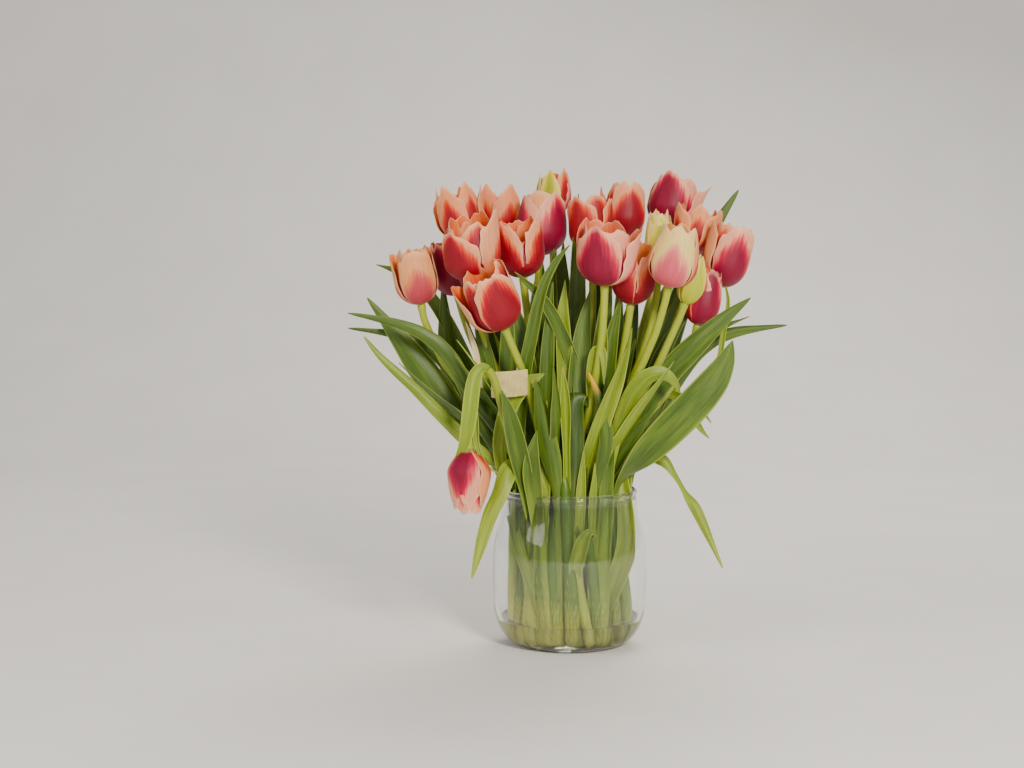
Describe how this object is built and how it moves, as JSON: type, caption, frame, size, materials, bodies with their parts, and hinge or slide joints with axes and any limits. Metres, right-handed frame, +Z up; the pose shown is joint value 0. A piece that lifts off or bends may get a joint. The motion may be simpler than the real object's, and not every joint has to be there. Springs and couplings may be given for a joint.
{
  "type": "vase of tulips",
  "caption": "Bunch of cut red and cream tulips with long green leaves standing in a round clear glass jar vase holding shallow water.",
  "frame": {"origin": "centre of the jar's flat base, on the surface it stands on", "axes": "+Z up along the jar's axis, -Y towards the viewer of the front, +X to the viewer's right"},
  "size_m": [0.4414, 0.2279, 0.4795],
  "materials": {
    "glass": "clear, polished",
    "water": "clear liquid",
    "paper": "matt crepe paper tape",
    "petal": "soft satin petal with a cream edge",
    "bud": "soft satin green-yellow petal",
    "stem": "smooth waxy plant stem",
    "leaf": "waxy satin leaf"
  },
  "bodies": {
    "root": {"vase": "glass", "water": "water", "paper_tape": "paper", "tulip_01_flower": "petal", "tulip_02_flower": "petal", "tulip_03_flower": "petal", "tulip_04_flower": "petal", "tulip_05_flower": "petal", "tulip_06_flower": "petal", "tulip_07_flower": "petal", "tulip_08_flower": "petal", "tulip_09_flower": "petal", "tulip_10_flower": "petal", "tulip_11_flower": "petal", "tulip_12_flower": "petal", "tulip_13_flower": "petal", "tulip_14_flower": "petal", "tulip_15_flower": "petal", "tulip_18_flower": "petal", "tulip_19_flower": "petal", "tulip_20_flower": "petal", "tulip_21_flower": "petal", "tulip_16_bud": "bud", "tulip_17_bud": "bud", "tulip_01_stem": "stem", "tulip_02_stem": "stem", "tulip_03_stem": "stem", "tulip_04_stem": "stem", "tulip_05_stem": "stem", "tulip_06_stem": "stem", "tulip_07_stem": "stem", "tulip_08_stem": "stem", "tulip_09_stem": "stem", "tulip_10_stem": "stem", "tulip_11_stem": "stem", "tulip_12_stem": "stem", "tulip_13_stem": "stem", "tulip_14_stem": "stem", "tulip_15_stem": "stem", "tulip_16_stem": "stem", "tulip_17_stem": "stem", "tulip_18_stem": "stem", "tulip_19_stem": "stem", "tulip_20_stem": "stem", "tulip_21_stem": "stem", "leaf_01": "leaf", "leaf_02": "leaf", "leaf_03": "leaf", "leaf_04": "leaf", "leaf_05": "leaf", "leaf_06": "leaf", "leaf_07": "leaf", "leaf_08": "leaf", "leaf_09": "leaf", "leaf_10": "leaf", "leaf_11": "leaf", "leaf_12": "leaf", "leaf_13": "leaf", "leaf_14": "leaf", "leaf_15": "leaf"}
  },
  "joints": []
}
